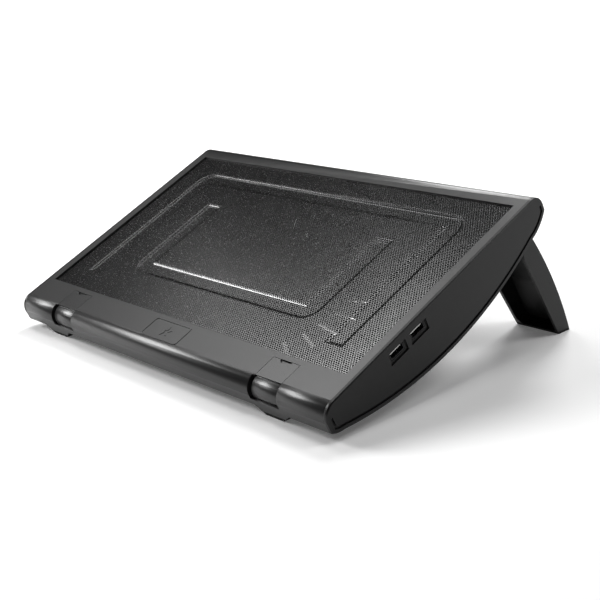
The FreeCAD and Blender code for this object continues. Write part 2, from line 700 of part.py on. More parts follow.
def add_rectangle(sketch, width, height):
    """Rectangle centred on the sketch's origin, with bound width and height."""
    corners = [Vector(-1, -1, 0), Vector(1, -1, 0), Vector(1, 1, 0), Vector(-1, 1, 0)]
    lines = [sketch.addGeometry(Part.LineSegment(corners[i], corners[(i + 1) % 4])) for i in range(4)]
    for i in range(4):
        sketch.addConstraint(Sketcher.Constraint("Coincident", lines[i], 2, lines[(i + 1) % 4], 1))
        sketch.addConstraint(Sketcher.Constraint("Horizontal" if i % 2 == 0 else "Vertical", lines[i]))
    sketch.addConstraint(Sketcher.Constraint("Symmetric", lines[0], 1, lines[1], 2, -1, 1))
    for line, kind, text in ((lines[0], "DistanceX", width), (lines[1], "DistanceY", height)):
        bound = sketch.addConstraint(Sketcher.Constraint(kind, line, 1, line, 2, 2))
        sketch.setExpression(f"Constraints[{bound}]", text)


def pad(body, sketch, length, name="Pad", downwards=False):
    """Pad a sketch by a bound length."""
    item = body.newObject("PartDesign::Pad", name)
    item.Profile = sketch
    item.setExpression("Length", length)
    item.Reversed = downwards
    sketch.Visibility = False
    return item


def pocket(body, sketch, length, name="Pocket", upwards=False):
    """Cut a sketch downwards, or upwards, by a bound length."""
    item = body.newObject("PartDesign::Pocket", name)
    item.Profile = sketch
    item.setExpression("Length", length)
    item.Reversed = upwards
    sketch.Visibility = False
    return item


def disc_body(name, radius, thick, top, bore=None):
    """Round plate, with an optional bore, hung below a height."""
    body = new_body(name)
    sketch = sketch_on(body, "XY_Plane", f"{name}_circle", top)
    add_circle(sketch, radius)
    if bore:
        add_circle(sketch, bore)
    pad(body, sketch, thick, f"{name}_pad", downwards=True)
    return body


# ---------------------------------------------------------------- fan
def fan_offset():
    """The fan's axis in the deck frame."""
    return Vector(0, S.fan_centre, 0)


def build_fan_frame():
    """Ring with four lugs, four struts, the motor cup and the bearing tube."""
    half_turn = 45
    bottom = fan_bottom()
    ring = rod(S.fan_ring, Vector(0, 0, bottom), Z_AXIS, S.fan_deep).cut(
        rod(S.fan_ring - S.fan_ring_wall, Vector(0, 0, bottom), Z_AXIS, S.fan_deep))
    extras = [rod(S.cup_radius, Vector(0, 0, bottom), Z_AXIS, S.strut_thick / 2),
              rod(S.tube_radius, Vector(0, 0, bottom), Z_AXIS, -S.tube_top_drop - bottom)]
    pitch = S.fan_lug_pitch
    for x in (-pitch, pitch):
        for y in (-pitch, pitch):
            extras.append(rod(S.fan_lug_radius, Vector(x, y, bottom), Z_AXIS, S.fan_lug_thick))
    for turn in range(4):
        strut = block((0, S.fan_ring - S.fan_ring_wall / 2), (-S.strut_width / 2, S.strut_width / 2),
                      (bottom, bottom + S.strut_thick))
        arm_end = math.hypot(pitch, pitch)
        arm = block((S.fan_ring - S.fan_ring_wall / 2, arm_end),
                    (-S.fan_lug_radius / 2, S.fan_lug_radius / 2),
                    (bottom, bottom + S.fan_lug_thick))
        for bar in (strut, arm):
            bar.rotate(Vector(), Z_AXIS, half_turn + 90 * turn)
            extras.append(bar)
    frame = ring.fuse(extras)
    cuts = [rod(S.tube_bore, Vector(0, 0, bottom + S.strut_thick / 2), Z_AXIS, S.fan_deep)]
    for x in (-pitch, pitch):
        for y in (-pitch, pitch):
            cuts.append(rod(S.screw_radius + S.post_fit, Vector(x, y, bottom), Z_AXIS, S.fan_deep))
    cuts.append(rod(2 * S.lead_radius, Vector(lead_exit().x, lead_exit().y, bottom), Z_AXIS,
                    S.strut_thick / 2))
    item = doc.addObject("Part::Feature", "fan_frame")
    item.Shape = frame.cut(cuts).removeSplitter()
    register(item, fan_offset())


def lead_exit():
    """Where the fan's lead leaves its board, from the fan's axis."""
    return Vector(S.board_radius - 3 * S.lead_radius, -2 * S.lead_radius, 0)


def build_impeller():
    """Hub cup with its blades in a polar pattern."""
    body = new_body("fan_impeller")
    cup = sketch_on(body, "XY_Plane", "hub_circle", "-Sizes.hub_top_drop")
    add_circle(cup, "Sizes.hub_radius")
    pad(body, cup, "Sizes.hub_deep", "hub", downwards=True)
    room = sketch_on(body, "XY_Plane", "hub_room_circle", "-Sizes.hub_top_drop - Sizes.hub_deep")
    add_circle(room, "Sizes.hub_radius - Sizes.hub_wall")
    pocket(body, room, "Sizes.hub_deep - Sizes.hub_wall", "hub_room", upwards=True)
    boss = sketch_on(body, "XY_Plane", "hub_boss_circle", "-Sizes.hub_top_drop - Sizes.hub_wall / 2")
    add_circle(boss, "Sizes.hub_boss")
    pad(body, boss, "Sizes.hub_boss_deep", "hub_boss", downwards=True)
    hole = sketch_on(body, "XY_Plane", "shaft_hole_circle", "-Sizes.hub_top_drop - Sizes.hub_wall * 2")
    add_circle(hole, "Sizes.shaft_radius")
    pocket(body, hole, "Sizes.hub_boss_deep", "shaft_hole", upwards=True)
    blade = sketch_on(body, "XY_Plane", "blade_line", "-Sizes.blade_top_drop")
    root, tip, sweep = S.blade_root, S.blade_tip, math.radians(S.blade_sweep)
    half = S.blade_thick / 2
    end = Vector(tip * math.cos(sweep), tip * math.sin(sweep), 0)
    middle = Vector((root + tip) / 2 * math.cos(sweep / 3), (root + tip) / 2 * math.sin(sweep / 3), 0)

    def side_points(offset):
        across = Vector(-math.sin(sweep / 2), math.cos(sweep / 2), 0) * offset
        return Vector(root, 0, 0) + across, middle + across, end + across

    upper = side_points(half)
    lower = side_points(-half)
    blade.addGeometry(Part.Arc(*lower))
    blade.addGeometry(Part.LineSegment(lower[2], upper[2]))
    blade.addGeometry(Part.Arc(*upper))
    blade.addGeometry(Part.LineSegment(upper[0], lower[0]))
    for first, second in (((0, 2), (1, 1)), ((1, 2), (2, 2)), ((2, 1), (3, 1)), ((3, 2), (0, 1))):
        blade.addConstraint(Sketcher.Constraint("Coincident", *first, *second))
    blade_pad = pad(body, blade, "Sizes.blade_deep", "blade", downwards=True)
    pattern = body.newObject("PartDesign::PolarPattern", "blades")
    pattern.Originals = [blade_pad]
    pattern.Axis = (cup, ["N_Axis"])
    pattern.Angle = 360
    pattern.setExpression("Occurrences", "Sizes.blade_count")
    body.Tip = pattern
    register(body, fan_offset())


def build_motor():
    """Shaft, sleeve bearing, magnet ring, stator and driver board."""
    shaft = doc.addObject("Part::Cylinder", "fan_shaft")
    shaft.setExpression("Radius", "Sizes.shaft_radius")
    shaft.setExpression("Height", "Sizes.shaft_long")
    shaft_top = S.hub_top_drop + S.hub_wall / 2
    register(shaft, fan_offset() - Vector(0, 0, shaft_top + S.shaft_long))

    bearing = disc_body("fan_bearing", "Sizes.tube_bore", "Sizes.bearing_long", "-Sizes.tube_top_drop",
                        "Sizes.shaft_radius + Sizes.pin_clearance")
    register(bearing, fan_offset())
    magnet = disc_body("fan_magnet", "Sizes.hub_radius - Sizes.hub_wall", "Sizes.magnet_deep",
                       "-Sizes.hub_top_drop - Sizes.hub_wall * 2",
                       "Sizes.hub_radius - Sizes.hub_wall - Sizes.magnet_wall")
    register(magnet, fan_offset())
    board = disc_body("fan_board", "Sizes.board_radius", "Sizes.board_thick",
                      "-Sizes.fan_top_drop - Sizes.fan_deep + Sizes.strut_thick + Sizes.board_thick",
                      "Sizes.tube_radius")
    register(board, fan_offset())
    top = -S.tube_top_drop - S.hub_wall / 2
    bore = rod(S.tube_radius, Vector(0, 0, top - S.stator_deep), Z_AXIS, S.stator_deep)
    arms = []
    for turn in range(4):
        tooth = rod(S.stator_radius, Vector(0, 0, top - S.stator_deep), Z_AXIS, S.stator_deep).common(
            block((0, S.stator_radius), (-S.stator_arm / 2, S.stator_arm / 2), (top - S.stator_deep, top)))
        tooth.rotate(Vector(), Z_AXIS, 90 * turn)
        arms.append(tooth)
    coil = rod(S.coil_radius, Vector(0, 0, top - S.stator_deep + S.coil_inset), Z_AXIS,
               S.stator_deep - 2 * S.coil_inset)
    stator = arms[0].fuse(arms[1:] + [coil]).cut(bore).removeSplitter()
    item = doc.addObject("Part::Feature", "fan_stator")
    item.Shape = stator
    register(item, fan_offset())


# ---------------------------------------------------------------- sockets, board, screws, badge
def build_badge():
    """Small rounded plate let into the front margin."""
    body = new_body("badge")
    sketch = sketch_on(body, "XY_Plane", "badge_outline")
    add_rectangle(sketch, "Sizes.badge_width", "Sizes.badge_deep")
    plate = pad(body, sketch, "Sizes.badge_plate", "badge_plate", downwards=True)
    doc.recompute()
    corners = body.newObject("PartDesign::Fillet", "badge_corners")
    uprights = [f"Edge{i}" for i, edge in enumerate(plate.Shape.Edges, start=1)
                if edge.BoundBox.ZLength > S.badge_plate / 2]
    corners.Base = (plate, uprights)
    corners.setExpression("Radius", "Sizes.badge_corner")
    body.Tip = corners
    register(body, Vector(0, S.badge_centre, 0))


def build_sockets():
    """The twin socket board with its shells, tongues and contacts."""
    x_span, y_span, z_span = pcb_box()
    board = block(x_span, y_span, z_span)
    holes = [rod(S.screw_radius + S.post_fit, Vector(x, y, z_span[0]), Z_AXIS, S.pcb_thick)
             for x, y in pcb_screw_points()]
    feature("usb_board", board.cut(holes))
    mouth = S.body_width / 2 - S.port_sink
    contacts = []
    for name, y in port_centres().items():
        body = new_body(f"usb_shell_{name}")
        outer = sketch_on(body, "YZ_Plane", f"{name}_shell_outline")
        add_rectangle(outer, "Sizes.port_width", "Sizes.port_height")
        pad(body, outer, "Sizes.port_long", f"{name}_shell", downwards=True)
        inner = sketch_on(body, "YZ_Plane", f"{name}_mouth_outline")
        add_rectangle(inner, "Sizes.port_width - 2 * Sizes.port_sheet",
                      "Sizes.port_height - 2 * Sizes.port_sheet")
        pocket(body, inner, "Sizes.port_long - 2 * Sizes.port_sheet", f"{name}_mouth")
        register(body, Vector(mouth, y, -S.port_drop))
        back = mouth - S.port_long + 2 * S.port_sheet
        tongue = doc.addObject("Part::Box", f"usb_tongue_{name}")
        tongue.setExpression("Length", "Sizes.tongue_long")
        tongue.setExpression("Width", "Sizes.tongue_width")
        tongue.setExpression("Height", "Sizes.tongue_thick")
        ceiling = -S.port_drop + S.port_height / 2 - 2 * S.port_sheet - S.tongue_thick
        register(tongue, Vector(back, y - S.tongue_width / 2, ceiling))
        for lane in (-1.5, -0.5, 0.5, 1.5):
            middle = y + lane * S.contact_pitch
            contacts.append(block((back, back + S.tongue_long - S.contact_width),
                                  (middle - S.contact_width / 2, middle + S.contact_width / 2),
                                  (ceiling - S.contact_thick, ceiling)))
    feature("usb_contacts", Part.makeCompound(contacts))


def screw(x, y, seat, length, upwards=True):
    """Pan-head screw whose head rests at a height and whose shank runs up or down from it."""
    lean = 1 if upwards else -1
    axis = Vector(0, 0, lean)
    shank = rod(S.screw_radius, Vector(x, y, seat), axis, length)
    head = rod(S.screw_head, Vector(x, y, seat - lean * S.screw_head_thick), axis, S.screw_head_thick)
    return head.fuse(shank).removeSplitter()


def build_screws():
    """Screws of the case, the fan and the socket board, one group each."""
    case = [screw(x, y, -S.case_screw_seat, S.case_screw_long) for x, y in case_posts()]
    feature("case_screws", Part.makeCompound(case))
    lug_top = fan_bottom() + S.fan_lug_thick
    fan = [screw(x, y, lug_top, S.small_screw_long, upwards=False) for x, y in fan_lug_centres()]
    feature("fan_screws", Part.makeCompound(fan))
    board_top = pcb_box()[2][1]
    small = [screw(x, y, board_top, S.small_screw_long, upwards=False) for x, y in pcb_screw_points()]
    feature("board_screws", Part.makeCompound(small))


def build_fan_lead():
    """Two-core lead from the fan's board, under the fan, to the underside of the socket board."""
    exit_point = fan_offset() + lead_exit()
    board_low = fan_bottom() + S.strut_thick
    x_span, y_span, z_span = pcb_box()
    low = fan_bottom() - S.lead_drop
    points = [Vector(exit_point.x, exit_point.y, board_low),
              Vector(exit_point.x, exit_point.y, low),
              Vector(S.fan_ring + S.lead_side_gap, S.fan_centre - S.fan_ring / 4, low),
              Vector(x_span[0] + S.lead_radius * 2, sum(y_span) / 2, low),
              Vector(x_span[0] + S.lead_radius * 2, sum(y_span) / 2, z_span[0])]
    bend = 3 * S.lead_radius
    edges = []
    last = points[0]
    for before, corner, after in zip(points, points[1:], points[2:]):
        arrive = (corner - before).normalize()
        leave = (after - corner).normalize()
        turn = arrive.getAngle(leave)
        cut = bend * math.tan(turn / 2)
        start, end = corner - arrive * cut, corner + leave * cut
        bisector = (leave - arrive).normalize()
        middle = corner + bisector * (bend / math.cos(turn / 2) - bend)
        edges += [Part.makeLine(last, start), arc_through(start, middle, end)]
        last = end
    edges.append(Part.makeLine(last, points[-1]))
    path = Part.Wire(edges)
    ring = Part.Wire(Part.makeCircle(S.lead_radius, points[0], (points[1] - points[0]).normalize()))
    feature("fan_lead", path.makePipeShell([ring], True, False))


# ---------------------------------------------------------------- assembly
feature("top_frame", top_frame_shape())
feature("mesh_panel", mesh_shape())
build_badge()
feature("base_shell", base_shell_shape())
feature("end_cap_left", cap_shape(-1))
feature("end_cap_right", cap_shape(1))
build_catches()
build_legs()
build_fan_frame()
build_impeller()
build_motor()
build_sockets()
build_screws()
build_fan_lead()
doc.recompute()


def stand_placement():
    """Tilts the pad back onto its legs and sets it on the ground, centred over the origin."""
    tilt = Placement(Vector(), Rotation(X_AXIS, S.tilt_angle))
    box = FreeCAD.BoundBox()
    for item, offset in SUBPARTS:
        shape = item.Shape.copy()
        shape.Placement = tilt.multiply(offset)
        box.add(shape.optimalBoundingBox(False, False))
    return Placement(Vector(-box.Center.x, -box.Center.y, -box.ZMin), Rotation(X_AXIS, S.tilt_angle))


stand = stand_placement()
for item, offset in SUBPARTS:
    item.Placement = stand.multiply(offset)
doc.recompute()

os.makedirs("parts", exist_ok=True)
for item in doc.Objects:
    if "Invalid" in item.State or "Error" in item.State:
        raise RuntimeError(f"{item.Label} failed to recompute: {item.State}")
for item, offset in SUBPARTS:
    if item.Shape.isNull() or not item.Shape.isValid():
        raise RuntimeError(f"{item.Label} has no valid shape")
for item, offset in SUBPARTS:
    item.Shape.exportStep(f"parts/{item.Label}.step")
    box = item.Shape.BoundBox
    print(f"{item.Label:18s} solids {len(item.Shape.Solids):2d} volume {item.Shape.Volume:10.1f} "
          f"X {box.XMin:7.1f} {box.XMax:7.1f} Y {box.YMin:7.1f} {box.YMax:7.1f} "
          f"Z {box.ZMin:6.1f} {box.ZMax:6.1f}")
print("hinges:", "catch", stand.multVec(catch_axis()), "leg", stand.multVec(leg_hinge()),
      "fan", stand.multVec(fan_offset()), "stand", stand.Base)
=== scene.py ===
"""Finished look of a laptop cooling pad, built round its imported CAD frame.

Lengths are in metres, except where a name ends in _mm. Deck coordinates start at the
middle of the deck's front edge: x runs to the right, y back up the slope and z square
to the deck, so that a place on the tilted deck reads as it would on a drawing.
"""
import json
import logging
import math
from dataclasses import dataclass, field
from enum import Enum

import bpy
import numpy as np
from mathutils import Matrix, Vector


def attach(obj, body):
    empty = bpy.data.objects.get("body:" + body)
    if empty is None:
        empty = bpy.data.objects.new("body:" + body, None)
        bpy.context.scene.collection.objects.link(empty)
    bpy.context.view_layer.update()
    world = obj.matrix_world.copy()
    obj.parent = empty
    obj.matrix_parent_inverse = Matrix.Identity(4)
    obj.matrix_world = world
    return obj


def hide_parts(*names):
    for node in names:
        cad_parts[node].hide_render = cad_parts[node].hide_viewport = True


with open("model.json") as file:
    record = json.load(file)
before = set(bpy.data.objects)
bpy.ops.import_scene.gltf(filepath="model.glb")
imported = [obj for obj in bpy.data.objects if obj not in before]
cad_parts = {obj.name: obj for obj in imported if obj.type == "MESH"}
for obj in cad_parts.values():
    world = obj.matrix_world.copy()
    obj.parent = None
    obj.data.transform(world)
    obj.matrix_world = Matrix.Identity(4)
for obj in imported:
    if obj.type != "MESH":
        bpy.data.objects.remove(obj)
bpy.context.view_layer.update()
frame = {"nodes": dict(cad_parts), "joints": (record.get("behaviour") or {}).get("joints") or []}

LOG = logging.getLogger("cooling_pad")
MM = 0.001
FAN_JOINT = "fan_spin"
# How dress() softens an edge: corners this close are joined, and turns sharper than this are rounded.
WELD_MM = 0.002
SHARP_DEG = 38
EDGE_SEGMENTS = 2


# ---------------------------------------------------------------- small helpers

def linear(hex_colour: str) -> tuple[float, float, float, float]:
    """Turn an sRGB hex colour into the linear RGBA that Blender's sockets take.

    Args:
        hex_colour: colour as "#rrggbb".

    Returns:
        Linear red, green and blue, with an alpha of 1.
    """
    channels = [int(hex_colour[i:i + 2], 16) / 255 for i in (1, 3, 5)]
    light = [c / 12.92 if c <= 0.04045 else ((c + 0.055) / 1.055) ** 2.4 for c in channels]
    return light[0], light[1], light[2], 1.0


def add_node(tree: bpy.types.NodeTree, kind: str, inputs: dict | None = None,
             **settings: object) -> bpy.types.Node:
    """Add one shader node with its settings, socket values and links.

    Args:
        tree: node tree that gets the node.
        kind: the node's type, such as "ShaderNodeBump".
        inputs: value or source socket for each input, by the input's name or index.
        settings: the node's own properties.

    Returns:
        The new node.
    """
    node = tree.nodes.new(kind)
    for name, value in settings.items():
        setattr(node, name, value)
    for name, value in (inputs or {}).items():
        if isinstance(value, bpy.types.NodeSocket):
            tree.links.new(value, node.inputs[name])
        else:
            node.inputs[name].default_value = value
    return node


class Body(Enum):
    """The CAD bodies that added pieces ride on; kept CAD nodes stay on their own."""

    CASE = "case"


def find_joint(name: str) -> dict:
    """Look a joint up in the frame.

    Args:
        name: the joint's name.

    Returns:
        The joint's row, with its place and axis.
    """
    return next(joint for joint in frame["joints"] if joint["name"] == name)


@dataclass(frozen=True)
class Deck:
    """The tilted deck as a drawing plane, found from the fan's axis and the top frame."""

    place: Matrix

    @classmethod
    def from_frame(cls) -> "Deck":
        """Work out the deck from the fan's hinge, which stands square to it.

        Returns:
            The deck, with its origin at the middle of its front edge.
        """
        spin = find_joint(FAN_JOINT)
        up = Vector(spin["axis"]).normalized()
        across = Vector((1, 0, 0))
        back = up.cross(across)
        pivot = Vector(spin["pos_m"])
        corners = frame["nodes"]["top_frame"].data.vertices
        front = min((vertex.co - pivot).dot(back) for vertex in corners)
        top = max((vertex.co - pivot).dot(up) for vertex in corners)
        origin = pivot + back * front + up * top
        turn = Matrix((across, back, up)).transposed()
        return cls(Matrix.Translation(origin) @ turn.to_4x4())

    def extent(self, node: str) -> tuple[Vector, Vector]:
        """Give a CAD node's lowest and highest corners in deck coordinates.

        Args:
            node: the CAD node's name.

        Returns:
            The lowest and the highest corner.
        """
        inverse = self.place.inverted()
        points = [inverse @ vertex.co for vertex in frame["nodes"][node].data.vertices]
        low = Vector([min(point[i] for point in points) for i in range(3)])
        high = Vector([max(point[i] for point in points) for i in range(3)])
        return low, high


def mesh_piece(name: str, points: np.ndarray, faces: np.ndarray | list, deck: Deck, body: Body,
               finish: bpy.types.Material) -> bpy.types.Object:
    """Make a mesh object from deck coordinates, dress it and let it ride on a body.

    Args:
        name: the piece's name.
        points: corner positions in deck coordinates, in metres.
        faces: corner numbers of each face.
        deck: the deck that the points are measured on.
        body: the CAD body that the piece rides on.
        finish: the piece's material.

    Returns:
        The new object.
    """
    data = bpy.data.meshes.new(name)
    data.from_pydata([tuple(deck.place @ Vector(point)) for point in points], [], [tuple(f) for f in faces])
    data.validate()
    data.materials.append(finish)
    piece = bpy.data.objects.new(name, data)
    bpy.context.scene.collection.objects.link(piece)
    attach(piece, body.value)
    return piece


def dress(node: str, finish: bpy.types.Material, edge_mm: float = 0.0) -> None:
    """Give a kept CAD node its material, and soften its edges as a mould or a tool leaves them.

    Args:
        node: the CAD node's name.
        finish: its material.
        edge_mm: width of the rounding on its sharp edges, or 0 for none.
    """
    part = frame["nodes"][node]
    part.data.materials.clear()
    part.data.materials.append(finish)
    if edge_mm:
        weld = part.modifiers.new("joined_faces", "WELD")
        weld.merge_threshold = WELD_MM * MM
        soften = part.modifiers.new("soft_edges", "BEVEL")
        soften.width = edge_mm * MM
        soften.segments = EDGE_SEGMENTS
        soften.limit_method = "ANGLE"
        soften.angle_limit = math.radians(SHARP_DEG)
        soften.harden_normals = True
        soften.use_clamp_overlap = True


# ---------------------------------------------------------------- finishes

def start_material(name: str) -> tuple[bpy.types.Material, bpy.types.NodeTree, bpy.types.NodeSocket]:
    """Open an empty node material whose patterns follow the piece itself.

    Args:
        name: the finish's common name.

    Returns:
        The material, its node tree and the socket of object coordinates in metres.
    """
    material = bpy.data.materials.new(name)
    material.use_nodes = True
    tree = material.node_tree
    tree.nodes.clear()
    return material, tree, add_node(tree, "ShaderNodeTexCoord").outputs["Object"]


def grain(tree: bpy.types.NodeTree, where: bpy.types.NodeSocket, size_mm: float,
          detail: float = 2.0) -> bpy.types.NodeSocket:
    """Add a soft random pattern whose features are size_mm across.

    Args:
        tree: node tree that gets the pattern.
        where: coordinates in metres.
        size_mm: size of one feature.
        detail: how many finer layers lie over it.

    Returns:
        The pattern's factor, round about a half.
    """
    noise = add_node(tree, "ShaderNodeTexNoise",
                     {"Vector": where, "Scale": 1 / (size_mm * MM), "Detail": detail})
    return noise.outputs["Fac"]


def spread(tree: bpy.types.NodeTree, factor: bpy.types.NodeSocket, low: float, high: float,
           start: float = 0.3, end: float = 0.7) -> bpy.types.NodeSocket:
    """Stretch the middle of a random pattern over a range of values.

    Args:
        tree: node tree that gets the node.
        factor: the pattern.
        low: value at start and below.
        high: value at end and above.
        start: pattern level that gives low.
        end: pattern level that gives high.

    Returns:
        The stretched pattern.
    """
    node = add_node(tree, "ShaderNodeMapRange", {"Value": factor, "From Min": start, "From Max": end,
                                                 "To Min": low, "To Max": high})
    return node.outputs["Result"]


def blend_colours(tree: bpy.types.NodeTree, factor: bpy.types.NodeSocket, first: str,
                  second: str) -> bpy.types.NodeSocket:
    """Drift between two hex colours by a factor.

    Args:
        tree: node tree that gets the node.
        factor: 0 for the first colour and 1 for the second.
        first: hex colour.
        second: hex colour.

    Returns:
        The mixed colour.
    """
    node = add_node(tree, "ShaderNodeMix", {"Factor": factor}, data_type="RGBA")
    node.inputs[6].default_value = linear(first)
    node.inputs[7].default_value = linear(second)
    return node.outputs[2]


@dataclass(frozen=True)
class MouldedPlastic:
    """Injection-moulded plastic: a fine eroded grain that scatters the shine, even in colour."""

    name: str
    shade: str
    drift: str
    roughness: float
    grain_mm: float = 0.55
    grain_deep_mm: float = 0.008
    ior: float = 1.53
    shine: float = 0.5
    edge_highlight: str | None = None
    edge_highlight_mm: float = 0.5
    edge_highlight_full: float = 0.80
    edge_highlight_none: float = 0.99
    cloud_mm: float = 38.0
    sheen_swing: float = 0.05

    def build(self) -> bpy.types.Material:
        """Make the material: drifting shade, grained shine and a faint painted highlight along its edges.

        Returns:
            The material.
        """
        material, tree, where = start_material(self.name)
        texture = grain(tree, where, self.grain_mm, 3.0)
        cloud = grain(tree, where, self.cloud_mm)
        colour = blend_colours(tree, spread(tree, cloud, 0.0, 1.0), self.shade, self.drift)
        # Painted highlight: a paler colour on every rounded edge stands in for the light that edges catch.
        if self.edge_highlight:
            round_normal = add_node(tree, "ShaderNodeBevel", {"Radius": self.edge_highlight_mm * MM}, samples=4)
            true_normal = add_node(tree, "ShaderNodeNewGeometry").outputs["Normal"]
            match = add_node(tree, "ShaderNodeVectorMath",
                             {0: round_normal.outputs[0], 1: true_normal}, operation="DOT_PRODUCT")
            edge = spread(tree, match.outputs["Value"], 1.0, 0.0, self.edge_highlight_full, self.edge_highlight_none)
            highlighted = add_node(tree, "ShaderNodeMix", {"Factor": edge}, data_type="RGBA")
            tree.links.new(colour, highlighted.inputs[6])
            highlighted.inputs[7].default_value = linear(self.edge_highlight)
            colour = highlighted.outputs[2]
        bump = add_node(tree, "ShaderNodeBump", {"Height": texture, "Strength": 0.7,
                                                 "Distance": self.grain_deep_mm * MM})
        sheen = spread(tree, texture, self.roughness - self.sheen_swing, self.roughness + self.sheen_swing)
        shader = add_node(tree, "ShaderNodeBsdfPrincipled",
                          {"Base Color": colour, "Roughness": sheen, "IOR": self.ior,
                           "Specular IOR Level": self.shine, "Normal": bump.outputs["Normal"]})
        add_node(tree, "ShaderNodeOutputMaterial", {"Surface": shader.outputs["BSDF"]})
        return material


@dataclass(frozen=True)
class PaintedGlintBlades:
    """Black PBT with a painted highlight on its blades' upper rims, so that they read through the grille.
    """

    name: str
    shade: str
    rim: str
    axis: tuple[float, float, float]
    tilt: float
    hub_mm: float = 50.0
    hub_fade_mm: tuple[float, float] = (-4.0, 8.0)
    glint_deep_mm: float = 7.4
    glint_fade_mm: float = 0.6
    roughness: float = 0.3
    sheen_swing: float = 0.05
    grain_mm: float = 0.8
    grain_deep_mm: float = 0.005

    def build(self) -> bpy.types.Material:
        """Make the material: a painted highlight on the blades' upper rims outside the hub, black
        elsewhere.

        Returns:
            The material.
        """
        material, tree, where = start_material(self.name)
        upright = add_node(tree, "ShaderNodeMapping",
                           {"Vector": where, "Location": self.axis, "Rotation": (self.tilt, 0, 0)},
                           vector_type="TEXTURE")
        parts = add_node(tree, "ShaderNodeSeparateXYZ", {0: upright.outputs["Vector"]})
        flat = add_node(tree, "ShaderNodeCombineXYZ", {"X": parts.outputs["X"], "Y": parts.outputs["Y"]})
        far = add_node(tree, "ShaderNodeVectorMath", {0: flat.outputs["Vector"]}, operation="LENGTH")
        fade = [(self.hub_mm + step) * MM for step in self.hub_fade_mm]
        outside = spread(tree, far.outputs["Value"], 0.0, 1.0, *fade)
        high = spread(tree, parts.outputs["Z"], 0.0, 1.0, -self.glint_deep_mm * MM,
                      (self.glint_fade_mm - self.glint_deep_mm) * MM)
        share = add_node(tree, "ShaderNodeMath", {0: outside, 1: high}, operation="MULTIPLY")
        # Painted highlight: the rim colour on the blades' upper rims stands in for their glints.
        colour = blend_colours(tree, share.outputs["Value"], self.shade, self.rim)
        fine = grain(tree, where, self.grain_mm)
        sheen = spread(tree, fine, self.roughness - self.sheen_swing, self.roughness + self.sheen_swing)
        bump = add_node(tree, "ShaderNodeBump", {"Height": fine, "Strength": 0.5,
                                                 "Distance": self.grain_deep_mm * MM})
        shader = add_node(tree, "ShaderNodeBsdfPrincipled",
                          {"Base Color": colour, "IOR": 1.55, "Normal": bump.outputs["Normal"],
                           "Roughness": sheen})
        add_node(tree, "ShaderNodeOutputMaterial", {"Surface": shader.outputs["BSDF"]})
        return material


@dataclass(frozen=True)
class PowderCoat:
    """Black powder coat baked on punched steel: slight orange peel and a silky shine."""

    name: str
    shade: str
    drift: str
    roughness: float
    peel_mm: float = 1.1
    peel_deep_mm: float = 0.01
    ior: float = 1.75
    shine: float = 0.5
    cloud_mm: float = 60.0
    sheen_swing: float = 0.04

    def build(self) -> bpy.types.Material:
        """Make the material: coat over steel with peel in its shine.

        Returns:
            The material.
        """
        material, tree, where = start_material(self.name)
        peel = grain(tree, where, self.peel_mm, 1.0)
        cloud = grain(tree, where, self.cloud_mm)
        colour = blend_colours(tree, spread(tree, cloud, 0.0, 1.0), self.shade, self.drift)
        bump = add_node(tree, "ShaderNodeBump", {"Height": peel, "Strength": 0.5,
                                                 "Distance": self.peel_deep_mm * MM})
        sheen = spread(tree, peel, self.roughness - self.sheen_swing, self.roughness + self.sheen_swing)
        shader = add_node(tree, "ShaderNodeBsdfPrincipled",
                          {"Base Color": colour, "Roughness": sheen, "Normal": bump.outputs["Normal"],
                           "IOR": self.ior, "Specular IOR Level": self.shine})
        add_node(tree, "ShaderNodeOutputMaterial", {"Surface": shader.outputs["BSDF"]})
        return material


@dataclass(frozen=True)
class Metal:
    """Bare or plated metal with fine tool lines that stretch its highlights."""

    name: str
    shade: str
    drift: str
    roughness: float
    line_mm: tuple[float, float, float] = (0.3, 0.3, 0.3)
    line_deep_mm: float = 0.004
    sheen_swing: float = 0.06

    def build(self) -> bpy.types.Material:
        """Make the material: metal whose lines are longest along the largest of line_mm.

        Returns:
            The material.
        """
        material, tree, where = start_material(self.name)
        scale = tuple(1 / (size * MM) for size in self.line_mm)
        stretched = add_node(tree, "ShaderNodeMapping", {"Vector": where, "Scale": scale})
        lines = add_node(tree, "ShaderNodeTexNoise", {"Vector": stretched.outputs["Vector"],
                                                      "Scale": 1.0, "Detail": 2.0}).outputs["Fac"]
        colour = blend_colours(tree, spread(tree, lines, 0.0, 1.0), self.shade, self.drift)
        bump = add_node(tree, "ShaderNodeBump", {"Height": lines, "Strength": 0.6,
                                                 "Distance": self.line_deep_mm * MM})
        sheen = spread(tree, lines, self.roughness - self.sheen_swing, self.roughness + self.sheen_swing)
        shader = add_node(tree, "ShaderNodeBsdfPrincipled",
                          {"Base Color": colour, "Roughness": sheen, "Metallic": 1.0,
                           "Normal": bump.outputs["Normal"]})
        add_node(tree, "ShaderNodeOutputMaterial", {"Surface": shader.outputs["BSDF"]})
        return material


